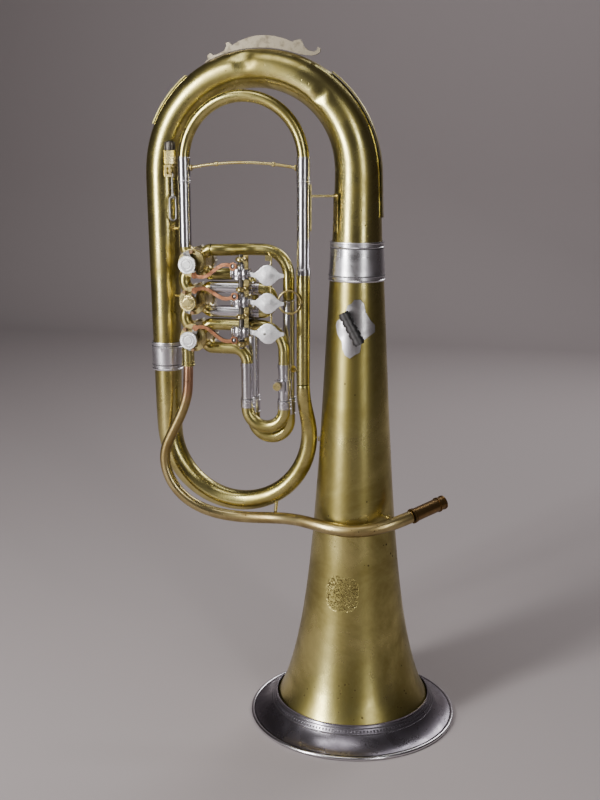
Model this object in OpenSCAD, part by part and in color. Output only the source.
// Baritone horn with three rotary valves, standing on its bell.
// Millimetres. The origin is the middle of the bell mouth, Z goes up along the bell,
// the player's finger side faces -Y and the mouthpiece receiver points to +X.

/* [Overall size] */
// outside radius of the rolled bell rim
mouth_r = 108; // [90:1:130]
// height of the main bow's centre line at its top
bow_top = 661; // [600:1:760]
// distance from the bell axis to the far leg of the main bow
bow_span = 198; // [170:1:240]
// distance of the valve and slide plane in front of the bell axis
front_gap = 28; // [26:0.5:34]

/* [Bell] */
// height where the bell tail enters its ferrule
neck_z = 459.5; // [440:0.5:480]
// outside radius of the bell tail there
neck_r = 26.7; // [24:0.1:30]
// radius of the plain cone carried on to the mouth
core_r = 49.6; // [45:0.1:55]
// sheet thickness of bell and large tubes
sheet = 0.7; // [0.5:0.05:1.2]
// height of the garland band above the mouth
garland_h = 22; // [14:1:36]

/* [Valves] */
// height of the first valve's axis
first_valve_z = 403.5; // [395:0.5:412]
// distance between neighbouring valve axes
valve_pitch = 36.6; // [36:0.1:48]
// outside radius of a valve casing
casing_r = 13.2; // [12.8:0.1:15]
// casing wall
casing_wall = 1.0; // [0.8:0.1:1.4]
// radial gap between rotor and casing
rotor_gap = 0.05; // [0.02:0.01:0.1]
// radius of the crank that turns a rotor
crank_r = 12; // [10:0.1:13]
// crank angle at rest above the level
crank_rest = 67; // [60:1:75]

/* [Slides] */
// outside radius of the small brass tubes
tube_r = 5.9; // [5:0.1:6.4]
// outside radius of the drawn inner slide legs
leg_r = 5.3; // [4.6:0.1:5.6]
// radial gap between an inner leg and its sleeve
leg_gap = 0.05; // [0.02:0.01:0.1]
// distance of the right-hand slide tube from the bell axis
inner_leg_x = 47.6; // [44:0.1:56]
// outside radius of the tuning crook
tuning_crook_r = 5.75; // [5.6:0.05:6.8]
// outside radius of the valve slide crooks
crook_r = 6.4; // [6:0.1:7]
// height of the top of the sleeves of the tuning slide
sleeve_top = 553.5; // [540:0.5:570]
// height of the bottom of the sleeves of the first and third slides
sleeve_end = 341; // [330:0.5:350]

/* [Levers] */
// the three levers swing on one upright axle at this distance from the far leg
axle_from_leg = 93.4; // [90:0.1:100]
// distance of the axle in front of the valve plane
axle_ahead = 19.5; // [19:0.1:24]
// axle radius
axle_r = 1.6; // [1.2:0.1:2]
// outside radius of a spring drum
drum_r = 10; // [8:0.1:10.5]
// length of the lever's crank arm
lever_crank = 14; // [12:0.1:15]
// length and height of a touchpiece
touch_l = 32; // [24:1:36]
touch_h = 20; // [14:1:22]

/* [Lead pipe] */
// outside radius at the valve end and at the receiver end
lead_r0 = 5.0; // [4.5:0.1:6]
lead_r1 = 6.4; // [5.5:0.1:7]
// bore radius of the receiver mouth and its depth
receiver_bore = 5.6; // [5:0.1:6]
receiver_depth = 25; // [15:1:30]

/* [Hidden] */
$fn = 48;

BRASS = [0.72, 0.60, 0.32];
NICKEL = [0.76, 0.75, 0.76];
COPPER = [0.72, 0.45, 0.33];
DARK = [0.25, 0.23, 0.22];
STEEL = [0.5, 0.5, 0.52];
CORK = [0.62, 0.46, 0.30];

front_y = -front_gap;
bow_r = bow_span / 2;
bow_cz = bow_top - bow_r;
far_x = -bow_span;
joint_z = 377;                      // main bow meets bottom bow inside the far ferrule
neck_joint = neck_z + 19;           // bell tail meets main bow inside the bell ferrule
flare_c = 0.63 * (mouth_r - 1 - core_r);
lip_c = 0.37 * (mouth_r - 1 - core_r);
taper = (core_r - neck_r) / neck_z;

valve_x = far_x + 43.5;
function valve_z(i) = first_valve_z + i * valve_pitch;
turn = [1, 1, -1];                  // valves 1 and 2 turn down, valve 3 turns up
port_d = (casing_r + 1.0) * cos(45);
elbow_r = 6;
port_x = port_d + elbow_r * cos(45);             // end of a level port elbow
port_z = port_d + elbow_r * (1 - cos(45));       // its height from the valve axis
rise_x = valve_x - port_z;                       // upright tubes left of the valves
rise_z = port_x;
rotor_r = casing_r - casing_wall - rotor_gap;
sleeve_r = 6.1;
seam = 0.02;                        // butt seam between tube lengths
sleeve_bore = leg_r + leg_gap;
branch_x = valve_x + port_x;
in_x = -inner_leg_x;
third_y = front_y + 14.6;

first_l = far_x + 93.3;
first_r = in_x - 19.2;
third_l = far_x + 95.5;
third_r = in_x - 17.9;
second_end = far_x + 101;

axle_x = far_x + axle_from_leg;
axle_y = front_y - axle_ahead;
lever_z = [412.3, 441.6, 468.1] + (first_valve_z - 403.5) * [1, 1, 1]
  + (valve_pitch - 36.6) * [0, 1, 2];
pin_dz = [-7.0, 6.0, 8.1];
post_z = [lever_z[0] - 12.8, (lever_z[0] + lever_z[1]) / 2 - 0.4,
  lever_z[1] + 11.2, lever_z[2] + 13.5];
crank_travel = crank_r * (sin(crank_rest) - cos(crank_rest));
drum_h = 9.6;
link_layer = 24.4;

lead_route = [
  [rise_x, front_y, 372], [rise_x - 0.8, front_y, 352], [rise_x - 2.2, front_y, 341],
  [far_x + 25.6, front_y, 328], [far_x + 19.6, front_y, 314.5],
  [far_x + 12.2, front_y, 300], [far_x + 6.2, front_y, 287], [far_x + 3.9, front_y, 272],
  [far_x + 7.4, front_y, 256], [far_x + 14.6, front_y, 243], [far_x + 26, -27, 231],
  [far_x + 42, -25, 221.5], [far_x + 62, -22.5, 215.5], [far_x + 86, -21, 213.5],
  [-90, -21.5, 214.6], [-70, -26, 217], [-52, -34, 219], [-35, -42, 219.2],
  [-18, -48, 218], [-2, -51, 217.2], [13, -50.8, 217.8], [27, -47.4, 219.6],
  [40, -41.6, 222.4], [51, -34.4, 225.2], [61.9, -25, 228.2]];
mouth_end = [90.2, 6, 235.6];

// half the swing of lever i, so that its link keeps its length from rest to full press
function half_swing(i, h = 13, n = 6) = n == 0 ? h : let (
    dx = axle_x - lever_crank * sin(h) - valve_x - crank_r * cos(crank_rest),
    dz = lever_z[i] + pin_dz[i] - valve_z(i) - turn[i] * crank_r * sin(crank_rest),
    dz2 = dz + turn[i] * crank_r * (sin(crank_rest) + cos(crank_rest)),
    dx2 = sqrt(dx * dx + dz * dz - dz2 * dz2))
  half_swing(i, asin((crank_travel + dx2 - dx) / 2 / lever_crank), n - 1);

function unit(v) = v / norm(v);
function smooth(t) = let (u = min(1, max(0, t))) u * u * (3 - 2 * u);
function total(v, i = 0) = i < len(v) ? v[i] + total(v, i + 1) : 0;

// ---------- helper shapes ----------

// bell outline: radius and outward offset
function bell_r(z) = core_r - taper * z + flare_c * exp(-z / 80) + lip_c * exp(-z / 10.4);
function bell_slope(z) = -taper - flare_c / 80 * exp(-z / 80) - lip_c / 10.4 * exp(-z / 10.4);
function bell_pt(z, off) = let (s = bell_slope(z), n = [1, -s] / norm([1, s]))
  [bell_r(z) + off * n[0], z + off * n[1]];

// frame drawn as seen from the front: x right, y up, z towards the player's fingers
module in_front(y = front_y) translate([0, y, 0]) rotate([90, 0, 0]) children();

module annulus(ro, ri) difference() { circle(ro); circle(ri); }

module arc_tube(c, r, a0, a1, ro, ri)
  translate([c[0], c[1], 0]) rotate([0, 0, a0]) rotate_extrude(angle = a1 - a0)
    translate([r, 0]) annulus(ro, ri);

module rod(p, q, r, r2 = -1) {
  d = q - p;
  translate(p) rotate([0, acos(d[2] / norm(d)), atan2(d[1], d[0])])
    cylinder(h = norm(d), r1 = r, r2 = r2 < 0 ? r : r2);
}

module pipe(p, q, ro, ri) {
  d = q - p;
  translate(p) rotate([0, acos(d[2] / norm(d)), atan2(d[1], d[0])])
    difference() {
      cylinder(h = norm(d), r = ro);
      translate([0, 0, -1]) cylinder(h = norm(d) + 2, r = ri);
    }
}

module ring(z, h, ro, ri) translate([0, 0, z]) difference() {
  cylinder(h = h, r = ro);
  translate([0, 0, -1]) cylinder(h = h + 2, r = ri);
}

// bead line around a tube
module bead(z, ro, ri, h = 1.2) translate([0, 0, z]) rotate_extrude()
  polygon([[ri, -h / 2], [ro - 0.3, -h / 2], [ro, -h / 4], [ro, h / 4], [ro - 0.3, h / 2],
    [ri, h / 2]]);

function hoop(p, t, r, n) = let (s = unit(cross(t, [0, 1, 0])), u = cross(s, t))
  [for (k = [0:n - 1]) p + r * (cos(360 * k / n) * s + sin(360 * k / n) * u)];

// bent tube with a changing radius: route points, one radius a point
module swept_tube(route, radii, wall, n) {
  m = len(route);
  tan_v = [for (i = [0:m - 1]) unit(route[min(i + 1, m - 1)] - route[max(i - 1, 0)])];
  outer = [for (i = [0:m - 1]) each hoop(route[i], tan_v[i], radii[i], n)];
  inner = [for (i = [0:m - 1]) each hoop(route[i], tan_v[i], radii[i] - wall, n)];
  b = m * n;
  faces = concat(
    [for (i = [0:m - 2], k = [0:n - 1]) each let (a = i * n + k, c = i * n + (k + 1) % n)
      [[a, c, c + n], [a, c + n, a + n],
       [b + a, b + c + n, b + c], [b + a, b + a + n, b + c + n]]],
    [for (k = [0:n - 1]) each let (c = (k + 1) % n, e = (m - 1) * n)
      [[k, b + c, c], [k, b + k, b + c],
       [e + k, e + c, b + e + c], [e + k, b + e + c, b + e + k]]]);
  polyhedron(points = concat(outer, inner), faces = faces, convexity = 6);
}

function spline_pt(p, i, t) = let (
    a = p[max(i - 1, 0)], b = p[i], c = p[i + 1], d = p[min(i + 2, len(p) - 1)])
  0.5 * (2 * b + (c - a) * t + (2 * a - 5 * b + 4 * c - d) * t * t
    + (3 * b - a - 3 * c + d) * t * t * t);
function spline(p, n) = concat([for (i = [0:len(p) - 2], k = [0:n - 1]) spline_pt(p, i, k / n)],
  [p[len(p) - 1]]);

// ---------- main bow ----------

bow_len = (bow_cz - joint_z) + PI * bow_r + (bow_cz - neck_joint);
function bow_pt(s) = let (a = bow_cz - joint_z, q = s - a, w = q / bow_r * 180 / PI)
  s < a ? [far_x, 0, joint_z + s]
  : w < 180 ? [-bow_r - bow_r * cos(w), 0, bow_cz + bow_r * sin(w)]
  : [0, 0, bow_cz - (q - PI * bow_r)];
function bow_radius(f) = lookup(f, [[0, 14.4], [0.12, 15.3], [0.28, 16.9], [0.45, 17.6],
  [0.6, 18.4], [0.74, 20.2], [0.84, 22.0], [0.9, 23.0], [0.94, 23.9], [0.97, 24.6],
  [1, 25.3]]);
bow_steps = concat([0, 0.1, 0.2], [for (i = [0:24]) 0.3 + 0.6 * i / 24], [0.93, 0.965, 1]);
bow_stations = [for (f = bow_steps) bow_len * f];

module main_bow() color(BRASS)
  swept_tube([for (s = bow_stations) bow_pt(s)],
    [for (s = bow_stations) bow_radius(s / bow_len)], sheet, 24);

// angle about the bow centre, measured from the +X side, to the outside radius there
function bow_outer(a) = let (s = (bow_cz - joint_z) + bow_r * (180 - a) * PI / 180)
  bow_r + bow_radius(s / bow_len);
function on_bow(a, off) = let (r = bow_outer(a) + off)
  [-bow_r + r * cos(a), bow_cz + r * sin(a)];

// outside radius of the bow's straight right leg at height z
function right_leg_r(z) = bow_radius((bow_cz - joint_z + PI * bow_r + bow_cz - z) / bow_len);

// narrow wear strip soldered along the outside of the bow
module guard_half(a0, a1) {
  n = 12;
  pts = concat([for (i = [0:n]) on_bow(a0 + (a1 - a0) * i / n, 0.35)],
    [for (i = [n:-1:0]) on_bow(a0 + (a1 - a0) * i / n, 1.5)]);
  in_front(0) linear_extrude(7, center = true) polygon(pts);
}

module guard_strip() color(BRASS) {
  guard_half(0, 52);
  guard_half(128, 156);
  in_front(0) linear_extrude(7, center = true) polygon(concat(
    [for (k = [0:6]) [right_leg_r(bow_cz - 0.2 - 6.9 * k) + 0.35, bow_cz - 0.2 - 6.9 * k]],
    [for (k = [6:-1:0]) [right_leg_r(bow_cz - 0.2 - 6.9 * k) + 1.5, bow_cz - 0.2 - 6.9 * k]]));
}

// flat shaped plate standing along the top of the bow
module crest_plate() color(NICKEL) in_front(0) translate([-bow_r + 6, bow_top, 0])
  linear_extrude(2.4, center = true) {
    top = [[-55.5, 9], [-56.4, 11.8], [-53.3, 14.6], [-50.8, 12.6], [-50, 12.2],
      [-45.2, 13.4], [-39, 16.4], [-36.8, 20.8], [-37.6, 23.4], [-34.4, 24.2],
      [-31, 21.2], [-24, 25.1], [-14, 28.4], [-6, 29.7], [2, 29.9], [11, 28.8],
      [20.6, 26.4], [28.4, 23.2], [31, 24.6], [36.2, 25.2], [38.3, 22.6], [40, 18.4],
      [44, 15.2], [49.6, 13.8], [52.7, 15.6], [53, 18.2], [55.6, 16.8], [55.4, 13.5],
      [52, 11.2], [47, 10.4]];
    base = [for (a = [69:2:117]) on_bow(a, 0.35) - [-bow_r + 6, bow_top]];
    polygon(concat(top, base));
  }

// ---------- bell ----------

bell_zs = concat([1.6, 3, 5, 7.5, 10, 13, 16, 20, 25, 31, 38, 46, 55, 66, 80, 96, 115, 138,
  165, 200, 250, 310, 380], [neck_z, neck_joint - 0.5]);

module bell_flare() color(BRASS) rotate_extrude($fn = 96)
  polygon(concat([for (z = bell_zs) bell_pt(z, 0)],
    [for (i = [len(bell_zs) - 1:-1:0]) bell_pt(bell_zs[i], -sheet)]));

module bell_garland() color(NICKEL) {
  zs = [for (i = [0:9]) 1.75 + (garland_h - 1.75) * pow(i / 9, 1.3)];
  rotate_extrude($fn = 96) polygon(concat([for (z = zs) bell_pt(z, 0.35)],
    [for (i = [9:-1:0]) bell_pt(zs[i], 1.05)]));
  translate([0, 0, garland_h]) rotate_extrude($fn = 96)
    translate([bell_r(garland_h) + 1.2, 0.9]) circle(0.9, $fn = 24);
  intersection() {
    translate([0, 0, 1.85]) rotate_extrude($fn = 96)
      translate([mouth_r - 2.1, 0]) circle(2.1, $fn = 24);
    cylinder(h = 6, r = mouth_r + 2);
  }
}

module ferrule(z0, h, r0, r1, bore0, bore1) translate([0, 0, z0]) rotate_extrude($fn = 72)
  polygon([[bore0, 0], [r0 + 0.3, 0], [r0 + 0.6, 0.7], [r0 + 0.6, 1.4], [r0 + 0.1, 2],
    [r0 + 0.1, 4.6], [r0 + 0.5, 5.2], [r0 + 0.1, 5.8], [r1 + 0.1, h - 5.8],
    [r1 + 0.5, h - 5.2], [r1 + 0.1, h - 4.6], [r1 + 0.1, h - 2], [r1 + 0.6, h - 1.4],
    [r1 + 0.6, h - 0.7], [r1 + 0.3, h], [bore1, h]]);

module tube_ferrules() color(NICKEL) {
  ferrule(neck_z, 38, neck_r + 0.8, 26.1, neck_r + 0.35, 25.2);
  translate([far_x, 0, 0]) ferrule(joint_z - 14.5, 29, 15.7, 16.1, 14.75, 15.15);
}

// ---------- bottom bow and the tube above it ----------

low_r = (-far_x - inner_leg_x + 1.6) / 2;
low_c = far_x + low_r + 0.4;
low_z = 302;
low_len = (joint_z - low_z) + PI * low_r + 58;
function low_pt(s) = let (a = joint_z - 0.4 - low_z, q = s - a, w = q / low_r * 180 / PI,
    u = (q - PI * low_r) / 56.5, v = smooth(1.1 * u))
  s < a ? [far_x + 0.4 * smooth(s / a), 0, joint_z - 0.4 - s]
  : w < 180 ? [low_c - low_r * cos(w), -8 * smooth(w / 180), low_z - low_r * sin(w)]
  : [low_c + low_r + (in_x - low_c - low_r) * v, -8 + (front_y + 8) * v,
     low_z + min(1, u) * 56];
function low_radius(f) = lookup(f, [[0, 14.2], [0.13, 13.7], [0.25, 12.6], [0.5, 10.6],
  [0.72, 9.3], [0.85, 8.2], [0.93, 7.2], [1, 6.7]]);
low_steps = concat([0, 0.08, 0.16], [for (i = [0:18]) 0.2 + 0.58 * i / 18],
  [for (i = [1:8]) 0.78 + 0.22 * i / 8]);

module bottom_bow() color(BRASS) {
  end_s = (joint_z - 0.4 - low_z) + PI * low_r + 56.5;
  swept_tube([for (f = low_steps) low_pt(f * end_s)],
    [for (f = low_steps) low_radius(f)], sheet, 20);
}

module inner_leg() color(BRASS) pipe([in_x, front_y, 358.6], [in_x, front_y, 470], 6.6, 6.0);

// ---------- tuning slide ----------

tune_r = (-rise_x - inner_leg_x) / 2;
tune_c = (rise_x + in_x) / 2;
tune_z = bow_top - 27 - tune_r;

module collar(x, y, z, h, ro, ri) translate([x, y, 0]) {
  ring(z, h, ro, ri);
  bead(z + 0.8, ro + 0.5, ri);
  bead(z + h - 0.8, ro + 0.5, ri);
}

module tuning_sleeves() color(NICKEL) {
  for (x = [rise_x, in_x]) {
    z0 = x == in_x ? 470.2 : valve_z(2) + rise_z;
    translate([x, front_y, 0]) {
      ring(z0, sleeve_top - z0, sleeve_r, sleeve_bore);
      bead(sleeve_top - 1, sleeve_r + 0.6, sleeve_bore);
    }
  }
  translate([in_x, front_y, 0]) ring(466, 4.2, 7.3, 6.65);
  translate([in_x, front_y, 0]) bead(471, sleeve_r + 1.2, sleeve_bore, 1.6);
}

module tuning_legs() color(NICKEL) for (x = [rise_x, in_x]) translate([x, front_y, 0]) {
  ring(sleeve_top - 46, 50, leg_r, leg_r - 0.5);
  ring(sleeve_top + 0.5, 23.5, tuning_crook_r + 0.6, tuning_crook_r + 0.16);
  ring(sleeve_top + 0.5, 4, tuning_crook_r + 0.5, leg_r - 0.1);
  bead(sleeve_top + 1.2, tuning_crook_r + 1, leg_r + 0.2, 1.4);
  bead(sleeve_top + 4.2, tuning_crook_r + 0.9, tuning_crook_r + 0.1);
  bead(sleeve_top + 23, tuning_crook_r + 0.9, tuning_crook_r + 0.2);
}

module tuning_crook() color(BRASS) {
  in_front() arc_tube([tune_c, tune_z], tune_r, 0, 180, tuning_crook_r, tuning_crook_r - 0.6);
  for (x = [rise_x, in_x]) translate([x, front_y, 0])
    ring(sleeve_top + 4.8, tune_z - sleeve_top - 4.8, tuning_crook_r, tuning_crook_r - 0.6);
}

module tuning_brace() color(BRASS) {
  half = tune_r - tuning_crook_r - 1.0;
  sag = 5;
  big = (half * half + sag * sag) / 2 / sag;
  w = asin(half / big);
  zc = sleeve_top + 18.7 - big;
  in_front() {
    translate([tune_c, zc, 0]) rotate([0, 0, 90 - w]) rotate_extrude(angle = 2 * w, $fn = 240)
      translate([big, 0]) circle(1.4, $fn = 24);
    for (a = [-w * 0.57, w * 0.5]) translate([tune_c, zc, 0]) rotate([0, 0, 90 + a])
      translate([big, 0, 0]) rotate([90, 0, 0]) cylinder(r = 2.3, h = 2.6, center = true);
    for (s = [-1, 1]) translate([tune_c + s * (half - 0.6), sleeve_top + 13.7, 0])
      rotate([0, 90, 0]) cylinder(r = 3, h = 1.4, center = true);
  }
}

// ---------- valves ----------

module at_valve(i) in_front() translate([valve_x, valve_z(i), 0]) children();

module valve_casing(i) color(BRASS) at_valve(i) difference() {
  union() {
    translate([0, 0, -15]) cylinder(r = casing_r, h = 31);
    translate([0, 0, 16]) cylinder(r = casing_r, h = 3);
    translate([0, 0, 14.6]) cylinder(r = casing_r + 0.5, h = 1.4);
    for (a = [45:90:315]) rotate([0, 0, a]) rotate([0, 90, 0])
      cylinder(r = tube_r + 0.4, h = casing_r + 1);
  }
  translate([0, 0, -16]) cylinder(r = casing_r - casing_wall, h = 28.3);
  cylinder(r = 3.05, h = 30);
  translate([0, 0, 16]) cylinder(r = 9.6, h = 4);
  for (a = [45:90:315]) rotate([0, 0, a]) rotate([0, 90, 0]) cylinder(r = 5.0, h = 20);
}

module rotor(i) color(BRASS) at_valve(i) difference() {
  union() {
    cylinder(r = rotor_r, h = 24, center = true);
    translate([0, 0, -14.4]) cylinder(r = 3, h = 36.9);
  }
  for (s = [-1, 1]) translate([s * rotor_r * sqrt(2), 0, 0])
    rotate_extrude() translate([rotor_r, 0]) circle(4.5);
}

module valve_caps() color(BRASS) for (i = [0:2]) at_valve(i) {
  difference() {
    translate([0, 0, -14.9]) cylinder(r = rotor_r, h = 2.7);
    translate([0, 0, -14.5]) cylinder(r = 3.05, h = 6);
  }
  difference() {
    union() {
      translate([0, 0, -19]) cylinder(r = casing_r + 1.2, h = 9);
      translate([0, 0, -20.2]) cylinder(r1 = casing_r - 1, r2 = casing_r + 0.6, h = 1.3);
      for (a = [0:30:330]) rotate([0, 0, a]) translate([casing_r + 1.2, 0, -18.4])
        cylinder(r = 0.9, h = 7.6, $fn = 16);
    }
    translate([0, 0, -15.3]) cylinder(r = casing_r + 0.15, h = 8);
    translate([0, 0, -17.4]) cylinder(r = 9, h = 4);
  }
  translate([0, 0, -18]) cylinder(r = 8, h = 3.1);
}

wing_half = asin(3 / 11.4);
bumper_off = asin(4.95 / 11.4);

module stop_arm(i) color(STEEL) at_valve(i) {
  a = turn[i] * crank_rest;
  difference() {
    union() {
      translate([0, 0, 19.6]) cylinder(r = 5.6, h = 2.8);
      rotate([0, 0, a]) translate([4, -2.4, 19.6]) cube([crank_r - 4, 4.8, 2.8]);
      rotate([0, 0, a]) translate([crank_r, 0, 19.6]) cylinder(r = 2.9, h = 2.8);
      rotate([0, 0, a + 180]) translate([3.8, -3, 19.6]) cube([8.8, 6, 2.8]);
    }
    translate([0, 0, 15]) cylinder(r = 3.04, h = 10);
  }
}

module stop_bumpers() color(CORK) for (i = [0:2]) at_valve(i)
  for (b = [crank_rest + 180 + bumper_off, crank_rest + 90 - bumper_off])
    rotate([0, 0, turn[i] * b]) translate([11.3, 0, 19.05]) cylinder(r = 1.7, h = 3.2, $fn = 24);

module valve_knob(i) color(NICKEL) at_valve(i) difference() {
  union() {
    translate([0, 0, 22.6]) cylinder(r = 3.4, h = 4);
    translate([0, 0, 26.2]) cylinder(r = 6.9, h = 7.4);
    translate([0, 0, 27.4]) cylinder(r = 7.3, h = 4.6);
    translate([0, 0, 33.6]) cylinder(r1 = 6.5, r2 = 5.8, h = 0.8);
  }
  translate([0, 0, 33.6]) rotate_extrude() translate([4.3, 1.2]) circle(0.9, $fn = 16);
}

module knuckle_tubes() color(BRASS) {
  d = port_d;
  chord = valve_pitch - 2 * d;
  k = chord / sqrt(2);
  in_front() {
    for (i = [0, 1])
      arc_tube([valve_x - d + k * cos(45), (valve_z(i) + valve_z(i + 1)) / 2], k, 135, 225,
        tube_r, tube_r - 0.8);
    arc_tube([valve_x - d + elbow_r * cos(45), valve_z(2) + d + elbow_r * cos(45)], elbow_r,
      180, 225, tube_r, tube_r - 0.8);
    arc_tube([valve_x - d + elbow_r * cos(45), valve_z(0) - d - elbow_r * cos(45)], elbow_r,
      135, 180, tube_r, tube_r - 0.8);
    for (i = [0:2]) {
      arc_tube([valve_x + d + elbow_r * cos(45), valve_z(i) + d - elbow_r * cos(45)], elbow_r,
        90, 135, tube_r, tube_r - 0.8);
      arc_tube([valve_x + d + elbow_r * cos(45), valve_z(i) - d + elbow_r * cos(45)], elbow_r,
        225, 270, tube_r, tube_r - 0.8);
    }
  }
}

// ---------- valve slides ----------

module flat_pipe(x0, x1, z, ro, ri) pipe([x0, front_y, z], [x1, front_y, z], ro, ri);

// level tube in the front plane, its bend and its down-tube, butted end to end
module first_branch(z, x_leg, r) {
  flat_pipe(branch_x, x_leg - r - seam, z, tube_r, tube_r - 0.6);
  in_front() arc_tube([x_leg - r, z - r], r, 0, 90, tube_r, tube_r - 0.6);
  pipe([x_leg, front_y, 375.3], [x_leg, front_y, z - r - seam], tube_r, tube_r - 0.6);
}

module first_branches() color(BRASS) {
  first_branch(valve_z(0) + port_z, first_r, 25);
  first_branch(valve_z(0) - port_z, first_l, 14);
}

// level tube that slides back into the third plane and then bends down
function branch_pt(s, z, x_leg, r) = let (a = x_leg - r - branch_x - 0.3,
    w = (s - a) / r * 180 / PI, y = front_y + (third_y - front_y) * smooth((s - 3) / 38))
  s < a ? [branch_x + 0.3 + s, y, z]
  : w < 90 ? [x_leg - r + r * sin(w), y, z - r * (1 - cos(w))]
  : [x_leg, y, z - r - (s - a - PI * r / 2)];

module third_branch(z, x_leg, r, z_end) {
  len_s = (x_leg - r - branch_x - 0.3) + PI * r / 2 + (z - r - z_end);
  n = 20;
  route = [for (i = [0:n]) branch_pt(len_s * i / n, z, x_leg, r)];
  swept_tube(route, [for (i = [0:n]) tube_r - 0.02 * i / n], 0.6, 16);
}

module third_branches() color(BRASS) {
  third_branch(valve_z(2) + port_z, third_r, 25, 439.4);
  third_branch(valve_z(2) - port_z, third_l, 16, 439.4);
}

module slide_sleeves() color(NICKEL) {
  for (x = [first_l, first_r]) translate([x, front_y, 0]) {
    ring(sleeve_end, 375 - sleeve_end, sleeve_r, sleeve_bore);
    ring(375.6, 2, 6.8, tube_r + 0.03);
    ring(373.6, 1.5, 6.8, sleeve_bore);
    ring(375, 0.7, 6.8, sleeve_bore + 0.6);
    bead(sleeve_end + 0.9, sleeve_r + 0.6, sleeve_bore);
  }
  for (x = [third_l, third_r]) translate([x, third_y, 0]) {
    ring(sleeve_end, 439 - sleeve_end, sleeve_r, sleeve_bore);
    bead(sleeve_end + 0.9, sleeve_r + 0.6, sleeve_bore);
    bead(438, sleeve_r + 0.7, sleeve_bore, 2);
  }
  for (s = [-1, 1]) translate([branch_x + 0.1, front_y, valve_z(1) + s * port_z])
    rotate([0, 90, 0]) {
      ring(0, second_end - branch_x - 0.1, sleeve_r, sleeve_bore);
      bead(1, sleeve_r + 0.5, sleeve_bore);
      bead(second_end - branch_x - 1.2, sleeve_r + 0.5, sleeve_bore);
    }
}

// ferrule and drawn leg of a down-hanging slide, one side
module slide_leg(up, low) {
  ring(sleeve_end - 0.4 - low, low, crook_r + 0.5, crook_r + 0.03);
  ring(sleeve_end - 3.4, 3, crook_r + 0.4, leg_r - 0.2);
  ring(sleeve_end - 4, up + 4, leg_r, leg_r - 0.5);
  bead(sleeve_end - 1.3, crook_r + 0.75, leg_r + 0.2, 1.4);
  bead(sleeve_end - 3.9, crook_r + 0.75, crook_r + 0.1);
  bead(sleeve_end + 0.4 - low, crook_r + 0.75, crook_r + 0.1);
}

module down_crook(xl, xr, y, zc) {
  in_front(y) arc_tube([(xl + xr) / 2, zc], (xr - xl) / 2, 180, 360, crook_r, crook_r - 0.6);
  for (x = [xl, xr]) translate([x, y, 0]) ring(zc, sleeve_end - 4.4 - zc, crook_r, crook_r - 0.6);
}

first_cz = sleeve_end - 9;
third_cz = sleeve_end - 23;

module first_crook() color(BRASS) down_crook(first_l, first_r, front_y, first_cz);
module third_crook() color(BRASS) down_crook(third_l, third_r, third_y, third_cz);
module first_legs() color(NICKEL)
  for (x = [first_l, first_r]) translate([x, front_y, 0]) slide_leg(30, 8.4);
module third_legs() color(NICKEL)
  for (x = [third_l, third_r]) translate([x, third_y, 0]) slide_leg(80, 16);

second_cx = second_end + 6.5;
module second_crook() color(BRASS) {
  in_front() arc_tube([second_cx, valve_z(1)], port_z, -90, 90, tube_r, tube_r - 0.6);
  for (s = [-1, 1])
    flat_pipe(second_end + 3, second_cx - seam, valve_z(1) + s * port_z, tube_r, tube_r - 0.6);
}
module second_legs() color(NICKEL) for (s = [-1, 1]) {
  z = valve_z(1) + s * port_z;
  flat_pipe(second_end - 26, second_end + 1.4, z, leg_r, leg_r - 0.5);
  flat_pipe(second_end + 0.4, second_end + 2.6, z, tube_r + 0.4, leg_r - 0.2);
  flat_pipe(second_end + 0.4, second_end + 6, z, tube_r + 0.5, tube_r + 0.03);
}

// ---------- levers ----------

module at_axle(z) translate([axle_x, axle_y, z]) children();

module lever(i) color(NICKEL) at_axle(lever_z[i]) {
  dz = pin_dz[i];
  a = -90 - half_swing(i);
  difference() {
    union() {
      translate([0, 0, -drum_h / 2]) cylinder(r = drum_r, h = drum_h);
      translate([0, 0, min(dz, 0) - 1]) cylinder(r = 3.6, h = abs(dz) + 2);
      rotate([0, 0, a]) translate([2.6, -1.8, dz - 1]) cube([lever_crank - 5, 3.6, 2]);
    }
    translate([0, 0, -drum_h / 2 + 0.8]) cylinder(r = drum_r - 0.8, h = drum_h - 1.6);
    translate([0, 0, -15]) cylinder(r = axle_r + 0.05, h = 30);
  }
  rotate([0, 0, a]) translate([lever_crank - 3, 0, dz]) rotate([0, 90, 0])
    cylinder(r = 0.9, h = 3);
  rotate([0, 0, a]) translate([lever_crank, 0, dz]) sphere(r = 1.7, $fn = 32);
}

arm_dir = -17.9;
module touch(i) color(NICKEL) at_axle(lever_z[i]) {
  rotate([0, 0, arm_dir]) translate([drum_r + 0.2, -0.9, -2.3]) cube([20.4, 1.8, 4.6]);
  r = (touch_l * touch_l / 4 + touch_h * touch_h / 4) / touch_h;
  translate([29.4, -9.7, 0]) rotate([90, 0, 0]) linear_extrude(1.8) intersection() {
    translate([0, touch_h / 2 - r]) circle(r, $fn = 96);
    translate([0, r - touch_h / 2]) circle(r, $fn = 96);
  }
}

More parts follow.
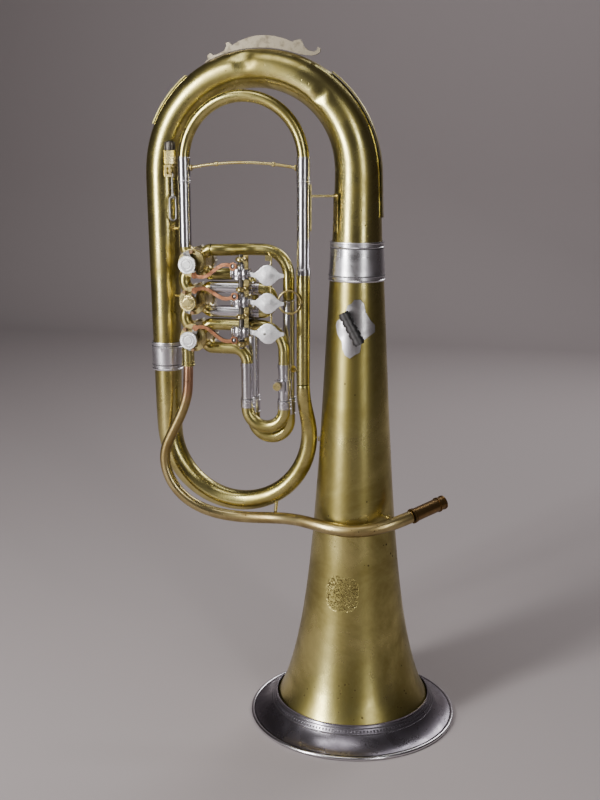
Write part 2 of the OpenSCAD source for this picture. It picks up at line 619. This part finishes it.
// S-shaped link from the rotor crank to the ball of the lever
module link(i) {
  s = turn[i];
  a = [valve_x + crank_r * cos(crank_rest), front_y - link_layer,
    valve_z(i) + s * crank_r * sin(crank_rest)];
  h = half_swing(i);
  b = [axle_x - lever_crank * sin(h), axle_y - lever_crank * cos(h), lever_z[i] + pin_dz[i]];
  run = norm([b[0] - a[0], b[1] - a[1]]);
  rise = b[2] - a[2];
  amp = 3.4;
  hw = 1.7;
  n = 22;
  function mid(t) = [run * t, rise * t + s * amp * sin(360 * t)];
  function off(t, w) = let (d = unit(mid(t + 0.01) - mid(t - 0.01))) mid(t) + w * [-d[1], d[0]];
  t0 = 2.2 / run;
  t1 = 1 - 3.1 / run;
  color(COPPER) translate(a) rotate([0, 0, atan2(b[1] - a[1], b[0] - a[0])])
    rotate([90, 0, 0]) {
    linear_extrude(2, center = true) polygon(concat(
      [for (k = [0:n]) off(t0 + (t1 - t0) * k / n, -hw)],
      [for (k = [n:-1:0]) off(t0 + (t1 - t0) * k / n, hw)]));
    cylinder(r = 3.1, h = 2, center = true);
    translate([0, 0, -1.2]) cylinder(r = 2.0, h = 2.4);
    translate([run, rise, 0]) difference() {
      cylinder(r = 3.8, h = 2, center = true);
      cylinder(r = 2.5, h = 5, center = true);
    }
  }
}

module clock_springs() {
  turns = 3;
  n = 20 * turns;
  function sp(k, w) = let (r = 3.7 + 4.7 * k / n + w, q = 360 * k / 20) [r * cos(q), r * sin(q)];
  color(STEEL) for (i = [0:2]) at_axle(lever_z[i] - 3) linear_extrude(6)
    polygon(concat([for (k = [0:n]) sp(k, -0.2)], [for (k = [n:-1:0]) sp(k, 0.2)]));
}

module lever_axle() color(DARK) {
  at_axle(0) {
    translate([0, 0, post_z[0] - 4.6]) cylinder(r = axle_r, h = post_z[3] - post_z[0] + 9.2);
    for (i = [0:2]) translate([0, 0, lever_z[i] - 3.5]) cylinder(r = 3.2, h = 7);
    for (g = [[post_z[0] + 2.6, lever_z[0] + pin_dz[0] - 1.2],
        [lever_z[0] + drum_h / 2 + 0.2, post_z[1] - 2.6],
        [post_z[1] + 2.6, lever_z[1] - drum_h / 2 - 0.2],
        [lever_z[1] + pin_dz[1] + 1.2, post_z[2] - 2.6],
        [post_z[2] + 2.6, lever_z[2] - drum_h / 2 - 0.2],
        [lever_z[2] + pin_dz[2] + 1.2, post_z[3] - 2.6]])
      translate([0, 0, g[0]]) cylinder(r = 2.7, h = g[1] - g[0]);
    for (z = [post_z[0] - 4.6, post_z[3] + 2.8]) translate([0, 0, z]) cylinder(r = 2.6, h = 1.8);
  }
}

rail_x = axle_x + 27.6;
// the rail lies behind the arms even when they are pressed right down
function arm_back(i) = let (q = 2 * half_swing(i) + arm_dir) 27.6 * tan(q) + 0.9 / cos(q);
rail_y = axle_y + max(3.2, arm_back(0) + 1.6, arm_back(1) + 1.6, arm_back(2) + 1.6);

module lever_carriage() color(BRASS) {
  difference() {
    union() {
      for (z = post_z) at_axle(z) {
        rotate_extrude() polygon([[0, -2.4], [3.6, -2.4], [5.2, -0.9], [5.2, 0.9], [3.6, 2.4],
          [0, 2.4]]);
        rotate([-90, 0, 0]) cylinder(r = 1.8, h = axle_ahead - 7.4);
      }
      translate([axle_x - 4, front_y - 7.9, post_z[0] - 3]) cube([8, 1.6, post_z[3] - post_z[0] + 6]);
    }
    at_axle(300) cylinder(r = axle_r + 0.03, h = 300);
  }
  rod([rail_x, rail_y, post_z[0] + 3], [rail_x, rail_y, post_z[3] + 2], 0.9);
  rod([rail_x, rail_y, post_z[0] + 9], [rail_x, front_y - tube_r - 0.6, post_z[0] + 9], 1.1);
  rod([rail_x, rail_y, post_z[3] + 1], [rail_x - 7, third_y - tube_r - 0.5, post_z[3] + 4], 1.1);
  translate([rail_x - 5.5, rail_y - 1, post_z[3] - 1.5]) cube([6.5, 2, 5]);
}

module finger_ring() color(BRASS) {
  in_front(front_y - 8) translate([in_x - 12, valve_z(1), 0]) rotate_extrude()
    translate([11, 0]) circle(0.95, $fn = 24);
  translate([in_x - 1, front_y - 7.6, valve_z(1)]) rotate([90, 0, 0])
    cylinder(r = 2.2, h = 1.6, center = true);
}

// ---------- lead pipe ----------

module lead_socket() color(BRASS) translate([rise_x, front_y, 0]) {
  z0 = valve_z(0) - rise_z;
  ring(371.8, z0 - 371.8, 6.2, lead_r0 + 0.1);
  bead(373, 6.9, lead_r0 + 0.2, 1.6);
  bead(376, 6.7, lead_r0 + 0.2);
  bead(z0 - 1, 6.6, lead_r0 + 0.2, 1.6);
}

module lead_pipe() color(COPPER) {
  route = spline(lead_route, 2);
  m = len(route) - 1;
  swept_tube(route, [for (i = [0:m]) lead_r0 + (lead_r1 - lead_r0) * min(1, i / m * 1.15)],
    0.6, 12);
}

module receiver() color(BRASS) {
  a = lead_route[len(lead_route) - 1];
  d = unit(mouth_end - a);
  l = norm(mouth_end - a);
  translate(a) rotate([0, acos(d[2]), atan2(d[1], d[0])]) difference() {
    union() {
      translate([0, 0, 0.95]) cylinder(r = lead_r1 + 0.4, h = l - 0.95);
      translate([0, 0, 0.95]) cylinder(r = lead_r1 + 1.2, h = 1.4);
      translate([0, 0, 3]) cylinder(r = lead_r1 + 1.0, h = 1.2);
      translate([0, 0, l - 8.4]) cylinder(r = lead_r1 + 1.2, h = 1.6);
      translate([0, 0, l - 1.8]) cylinder(r = lead_r1 + 0.9, h = 1.8);
    }
    translate([0, 0, -1]) cylinder(r = 4.4, h = l);
    translate([0, 0, l - receiver_depth]) cylinder(r = receiver_bore, h = receiver_depth + 1);
  }
}

// ---------- furniture ----------

module shield_mount() color(NICKEL) {
  intersection() {
    rotate_extrude() polygon([[bell_r(380) + 0.35, 380], [bell_r(450) + 0.35, 450],
      [bell_r(450) + 1.75, 450], [bell_r(380) + 1.75, 380]]);
    in_front(0) linear_extrude(60) polygon([[0.5, 440], [3, 443.6], [9, 443.6], [12, 439.6],
      [13.5, 431.6], [18.5, 423], [22, 418], [22, 411.6], [15, 406.4], [10.4, 402],
      [9.2, 392.6], [4.4, 390.2], [-0.4, 386.6], [-5.4, 389.4], [-7.8, 395], [-8.5, 402.6],
      [-13.5, 409.3], [-15.5, 418], [-14.4, 422], [-9.7, 425.6], [-5.4, 432], [-3.4, 438]]);
  }
  p = [-6.6, -36.4, 431.8];
  q = [10.3, -36.9, 401.4];
  d = (q - p) / norm(q - p);
  rod(p, q, 4.8);
  for (k = [0:4]) rod(p + d * (2 + k * 6.6), p + d * (6.4 + k * 6.6), 5.8);
  for (t = [0.2, 0.8]) rod(p + (q - p) * t, p + (q - p) * t + [0, 5.2, 0], 2.4);
}

// frame on the far leg: x outwards, turned towards the finger side
module at_far_leg(z, a = -54) translate([far_x, 0, z]) rotate([0, 0, a]) children();

lyre_z = bow_cz + 15;
eye_x = 22.1;
module lyre_box() color(BRASS) {
  at_far_leg(lyre_z) {
    difference() {
      translate([22.1, -5, -6.5]) cube([7.4, 10, 13]);
      translate([24, -2.6, -8]) cube([3.6, 5.2, 20]);
    }
    translate([18.7, -3, -4]) cube([3.6, 6, 8]);
  }
  at_far_leg(lyre_z - 13) {
    difference() {
      translate([eye_x, -5.6, -5.6]) cube([2.6, 11.2, 11.2]);
      translate([eye_x - 1, -3.6, -3.6]) cube([5, 7.2, 7.2]);
    }
    translate([eye_x, -1.2, -4]) cube([1.8, 2.4, 9]);
    translate([17.6, 0, 0]) rotate([0, 90, 0]) cylinder(r = 1.9, h = eye_x - 15.2);
    translate([17.8, -4.4, 4]) cube([eye_x - 17.7, 8.8, 1.6]);
  }
}

module lyre_screw() color(DARK) at_far_leg(lyre_z) translate([25.8, 0, 7]) {
  difference() {
    cylinder(r = 5.2, h = 7.4);
    for (a = [0:30:330]) rotate([0, 0, a]) translate([5.7, 0, -1]) cylinder(r = 1, h = 10, $fn = 12);
  }
  translate([0, 0, 7.4]) cylinder(r1 = 4.6, r2 = 3.4, h = 1.2);
  translate([0, 0, -5.4]) cylinder(r = 1.3, h = 5.4);
}

module strap_ring() color(STEEL) at_far_leg(lyre_z - 13) {
  translate([eye_x + 1.3, 2.4, -4.6]) rotate([90, 0, 0]) rotate_extrude()
    translate([2.7, 0]) circle(0.6, $fn = 16);
  translate([eye_x + 1.3, 2.4, -7.2]) rotate([180, 0, 0]) cylinder(r = 0.9, h = 15);
  for (k = [0:4]) translate([eye_x + 1.3, 2.4, -10.2 - k * 3.2]) cylinder(r = 1.3, h = 1.6, center = true);
  translate([eye_x + 1.3, 2.4, -24.4]) rotate([90, 0, 0]) rotate_extrude()
    translate([2.4, 0]) circle(0.8, $fn = 16);
  translate([eye_x + 1.3, 2.4, -28.2]) {
    for (s = [-1, 1]) translate([0, s * 3.2, -8.4]) cylinder(r = 0.9, h = 16.8, center = true);
    for (s = [0, 1]) mirror([0, 0, s]) translate([0, 0, s == 1 ? 16.8 : 0]) rotate([90, 0, 90])
      rotate_extrude(angle = 180) translate([3.2, 0]) circle(0.9, $fn = 16);
  }
}

module slide_clamp() color(NICKEL) translate([first_r, front_y, 357]) {
  difference() {
    translate([0, 0, -5]) cylinder(r = sleeve_r + 1.4, h = 10);
    translate([0, 0, -6]) cylinder(r = sleeve_r + 0.03, h = 12);
  }
  difference() {
    translate([-8.4, -9.6, -5]) cube([11, 3.2, 10]);
    translate([-4.5, 0, 0]) rotate([90, 0, 0]) cylinder(r = 1.45, h = 20);
    translate([0, 0, -6]) cylinder(r = sleeve_r + 0.03, h = 12);
  }
  translate([3.6, -8, -9]) cube([1.4, 3, 19]);
}

module clamp_screw() color(COPPER) translate([first_r - 4.5, front_y, 357])
  rotate([90, 0, 0]) {
    translate([0, 0, 7.2]) cylinder(r = 1.4, h = 3);
    difference() {
      translate([0, 0, 9.9]) cylinder(r = 4, h = 3.2);
      translate([-5, -0.4, 12.3]) cube([10, 0.8, 2]);
    }
  }

// straight brace between two upright tubes given by centre and radius
module strut(a, ra, b, rb, z, z2 = -1, r = 1.5) {
  d = unit([b[0] - a[0], b[1] - a[1]]);
  zz = z2 < 0 ? z : z2;
  p = [a[0] + d[0] * (ra + 0.35), a[1] + d[1] * (ra + 0.35), z];
  q = [b[0] - d[0] * (rb + 0.35), b[1] - d[1] * (rb + 0.35), zz];
  w = unit(q - p);
  rod(p, q, r);
  rod(p, p + w * 1.1, 3.4);
  rod(q - w * 1.1, q, 3.4);
}

// short rod between two upright tubes given by centre and radius
module bridge(a, ra, b, rb, z, r) {
  d = unit([b[0] - a[0], b[1] - a[1]]);
  rod([a[0] + d[0] * (ra + 0.25), a[1] + d[1] * (ra + 0.25), z],
    [b[0] - d[0] * (rb + 0.25), b[1] - d[1] * (rb + 0.25), z], r);
}

foot_a = 223;
module tube_braces() color(BRASS) {
  il = [in_x, front_y];
  // brace from the right sleeve to the front left of the large tube
  foot = 25 * [cos(foot_a), sin(foot_a)];
  d = unit(foot - il);
  a0 = il + (sleeve_r + 1.4) * d;
  rod([a0[0], a0[1], 541], [foot[0], foot[1], 541], 1.2);
  translate([in_x, front_y, 0]) rotate([0, 0, atan2(d[1], d[0])])
    translate([sleeve_r + 0.3, -2.5, 508]) cube([1.2, 5, 44]);
  rotate([0, 0, foot_a]) translate([24.5, -3.5, 507]) cube([1.0, 7, 36]);
  strut([far_x, 0], bow_radius((508 - joint_z) / bow_len) + 0.1, [rise_x, front_y], sleeve_r, 508);
  rod([far_x + 12.6, -9.1, valve_z(1)], [valve_x - casing_r - 0.9, front_y + 6.9, valve_z(1)], 1.5);
  bridge([low_c + low_r, -8], 8.45, [0, 0], bell_r(298) + 0.15, 298, 2.6);
  strut([third_r, third_y], sleeve_r, il, 6.6, 371);
  bridge([first_l, front_y], sleeve_r, [third_l, third_y], sleeve_r, 352, 1.9);
  bridge([first_r, front_y], sleeve_r, [third_r, third_y], sleeve_r, 347, 1.9);
  rod([12, -40.4, 217.6], [12, -44.1, 217.6], 2.6);
  p = [34.4, -22.3, 226];
  q = [45.2, -30.45, 225.4];
  rod(p, q, 1.5);
  rod(p + 0.4 * (q - p), p + 0.6 * (q - p), 2.6);
  rod([far_x + 9.6, front_y + 5.6, 296], [far_x + 5.6, -12.6, 297], 1.6);
  rod([-78.6, -20.1, 221.3], [-79, -13.1, 230.3], 1.6);
}

// ---------- output ----------

bell_flare();
bell_garland();
tube_ferrules();
main_bow();
guard_strip();
crest_plate();
bottom_bow();
inner_leg();
tuning_sleeves();
slide_sleeves();
tuning_crook();
tuning_legs();
tuning_brace();
valve_casing(0);  // casing_1
valve_casing(1);  // casing_2
valve_casing(2);  // casing_3
rotor(0);  // rotor_1
rotor(1);  // rotor_2
rotor(2);  // rotor_3
valve_caps();
stop_arm(0);  // stop_arm_1
stop_arm(1);  // stop_arm_2
stop_arm(2);  // stop_arm_3
valve_knob(0);  // valve_knob_1
valve_knob(1);  // valve_knob_2
valve_knob(2);  // valve_knob_3
stop_bumpers();
knuckle_tubes();
first_branches();
third_branches();
first_crook();
first_legs();
second_crook();
second_legs();
third_crook();
third_legs();
lever(0);  // lever_1
lever(1);  // lever_2
lever(2);  // lever_3
touch(0);  // touch_1
touch(1);  // touch_2
touch(2);  // touch_3
link(0);  // link_1
link(1);  // link_2
link(2);  // link_3
clock_springs();
lever_axle();
lever_carriage();
finger_ring();
lead_socket();
lead_pipe();
receiver();
shield_mount();
lyre_box();
lyre_screw();
strap_ring();
slide_clamp();
clamp_screw();
tube_braces();
